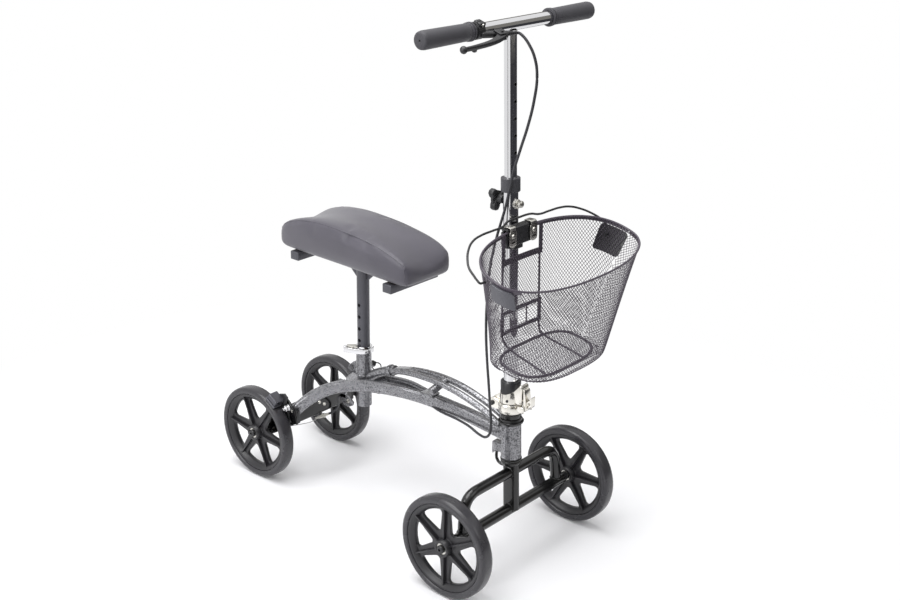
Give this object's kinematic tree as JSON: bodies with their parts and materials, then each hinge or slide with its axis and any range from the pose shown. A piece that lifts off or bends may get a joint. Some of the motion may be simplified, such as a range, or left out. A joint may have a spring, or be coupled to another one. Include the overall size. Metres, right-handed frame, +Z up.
{
  "type": "knee walker",
  "caption": "Steerable knee walker with a padded knee seat, arched frame, telescopic tiller handlebar, hand brake and a mesh front basket.",
  "frame": {"origin": "on the floor at the middle of the outer box, wheels straight and the column upright", "axes": "+Z up, -Y the direction of travel, -X the rider's right hand"},
  "size_m": [0.4496, 0.8691, 1.0286],
  "materials": {
    "hammered_grey": "hammered grey powder coat",
    "gloss_black": "gloss black powder coat",
    "chrome": "bright chrome plate",
    "dark_steel": "dark satin coat",
    "black_plastic": "moulded black plastic",
    "tyre_grey": "solid grey rubber tread",
    "rim_grey": "moulded dark grey plastic",
    "grip_rubber": "soft dark grip rubber",
    "cable_jacket": "black cable jacket",
    "seat_vinyl": "slate grey vinyl cover",
    "basket_black": "black coated expanded mesh",
    "plywood": "bare plywood"
  },
  "bodies": {
    "frame": {"lower_rail_right": "hammered_grey", "lower_rail_left": "hammered_grey", "upper_rails": "hammered_grey", "seat_socket": "hammered_grey", "head_tube": "hammered_grey", "upper_headset_cup": "gloss_black", "lower_headset_cup": "gloss_black", "rear_beam": "gloss_black", "rear_axle_right": "dark_steel", "rear_axle_left": "dark_steel", "seat_clamp": "chrome", "cable_tab": "hammered_grey", "cable_adjuster": "chrome", "cable_lower": "cable_jacket", "brake_pivot_bolt": "chrome", "brake_wire": "chrome", "brake_spring": "chrome"},
    "rear_wheel_right": {"rear_right_tyre": "tyre_grey", "rear_right_rim": "rim_grey"},
    "rear_wheel_left": {"rear_left_tyre": "tyre_grey", "rear_left_rim": "rim_grey"},
    "seat": {"seat_post": "dark_steel", "front_batten": "black_plastic", "rear_batten": "black_plastic", "seat_board": "plywood", "seat_pad": "seat_vinyl"},
    "seat_clamp_lever": {"seat_clamp_lever": "chrome"},
    "seat_lock_pin": {"seat_lock_pin": "black_plastic"},
    "brake": {"brake_arm": "dark_steel", "brake_shoe": "black_plastic"},
    "steering": {"front_loop_bar": "gloss_black", "front_axle_bar": "gloss_black", "centre_post": "gloss_black", "steerer_crown": "gloss_black", "hinge_base": "chrome", "hinge_pin": "chrome", "front_axle_bolt_right": "dark_steel", "front_axle_bolt_left": "dark_steel"},
    "front_wheel_right": {"front_right_tyre": "tyre_grey", "front_right_rim": "rim_grey"},
    "front_wheel_left": {"front_left_tyre": "tyre_grey", "front_left_rim": "rim_grey"},
    "fold_lever": {"fold_lever": "chrome"},
    "column": {"hinge_head": "chrome", "fold_collar": "black_plastic", "column_tube": "chrome", "height_clamp": "black_plastic", "basket_bracket": "black_plastic", "cable_upper": "cable_jacket", "cable_middle": "cable_jacket"},
    "clamp_knob": {"clamp_knob": "black_plastic"},
    "height_pin": {"height_pin": "chrome"},
    "stem": {"stem_tube": "chrome", "handlebar": "chrome", "grip_right": "grip_rubber", "grip_left": "grip_rubber", "lever_bracket": "black_plastic"},
    "brake_lever": {"brake_lever": "dark_steel"},
    "basket": {"basket": "basket_black"},
    "basket_bail": {"basket_bail": "basket_black"}
  },
  "joints": [
    {"name": "rear_wheel_right_spin", "type": "hinge", "parent": "frame", "child": "rear_wheel_right", "pos_m": [-0.113, 0.33522, 0.09937], "axis": [1, 0, 0], "continuous": true},
    {"name": "rear_wheel_left_spin", "type": "hinge", "parent": "frame", "child": "rear_wheel_left", "pos_m": [0.113, 0.33522, 0.09937], "axis": [1, 0, 0], "continuous": true},
    {"name": "seat_height", "type": "slide", "parent": "frame", "child": "seat", "axis": [0, 0, 1], "range_m": [-0.1016, 0]},
    {"name": "seat_clamp_lever_swing", "type": "hinge", "parent": "frame", "child": "seat_clamp_lever", "pos_m": [-0.0295, 0.13222, 0.315], "axis": [0, 0, 1], "range_deg": [0, 90]},
    {"name": "seat_lock_pull", "type": "slide", "parent": "frame", "child": "seat_lock_pin", "axis": [1, 0, 0], "range_m": [0, 0.008], "stiffness_N_per_m": 600},
    {"name": "brake_arm_swing", "type": "hinge", "parent": "frame", "child": "brake", "pos_m": [-0.093, 0.26022, 0.168], "axis": [0, -1, 0], "range_deg": [0, 4.5], "deforming": ["brake_wire", "brake_spring"]},
    {"name": "steering", "type": "hinge", "parent": "frame", "child": "steering", "pos_m": [0, -0.25598, 0.23626], "axis": [0, 0.0401, 0.9992], "range_deg": [-40, 40], "deforming": ["cable_lower"]},
    {"name": "front_wheel_right_spin", "type": "hinge", "parent": "steering", "child": "front_wheel_right", "pos_m": [-0.186, -0.26148, 0.09937], "axis": [1, 0, 0], "continuous": true},
    {"name": "front_wheel_left_spin", "type": "hinge", "parent": "steering", "child": "front_wheel_left", "pos_m": [0.186, -0.26148, 0.09937], "axis": [1, 0, 0], "continuous": true},
    {"name": "fold_lever_swing", "type": "hinge", "parent": "steering", "child": "fold_lever", "pos_m": [0, -0.28674, 0.30505], "axis": [1, 0, 0], "range_deg": [0, 90]},
    {"name": "column_fold", "type": "hinge", "parent": "steering", "child": "column", "pos_m": [0, -0.2192, 0.30484], "axis": [-1, 0, 0], "range_deg": [0, 30], "deforming": ["cable_middle"]},
    {"name": "clamp_knob_turn", "type": "hinge", "parent": "column", "child": "clamp_knob", "pos_m": [0, -0.2074, 0.69818], "axis": [0, 0.9992, -0.0401], "continuous": true},
    {"name": "height_pin_pull", "type": "slide", "parent": "column", "child": "height_pin", "axis": [0, -0.9992, 0.0401], "range_m": [0, 0.012], "stiffness_N_per_m": 600},
    {"name": "handlebar_height", "type": "slide", "parent": "column", "child": "stem", "axis": [0, 0.0401, 0.9992], "range_m": [-0.205, 0], "deforming": ["cable_upper"]},
    {"name": "brake_lever_pull", "type": "hinge", "parent": "stem", "child": "brake_lever", "pos_m": [-0.056, -0.25076, 0.99843], "axis": [0, 0.304, -0.9527], "range_deg": [0, 12], "stiffness_Nm_per_rad": 1.5},
    {"name": "basket_lift", "type": "slide", "parent": "column", "child": "basket", "axis": [0, 0.0401, 0.9992], "range_m": [0, 0.01]},
    {"name": "basket_bail_swing", "type": "hinge", "parent": "basket", "child": "basket_bail", "pos_m": [0, -0.3278, 0.62085], "axis": [1, 0, 0], "range_deg": [0, 50]}
  ],
  "couplings": [
    {"joint": "brake_arm_swing", "follows": "brake_lever_pull", "ratio": 0.375}
  ]
}
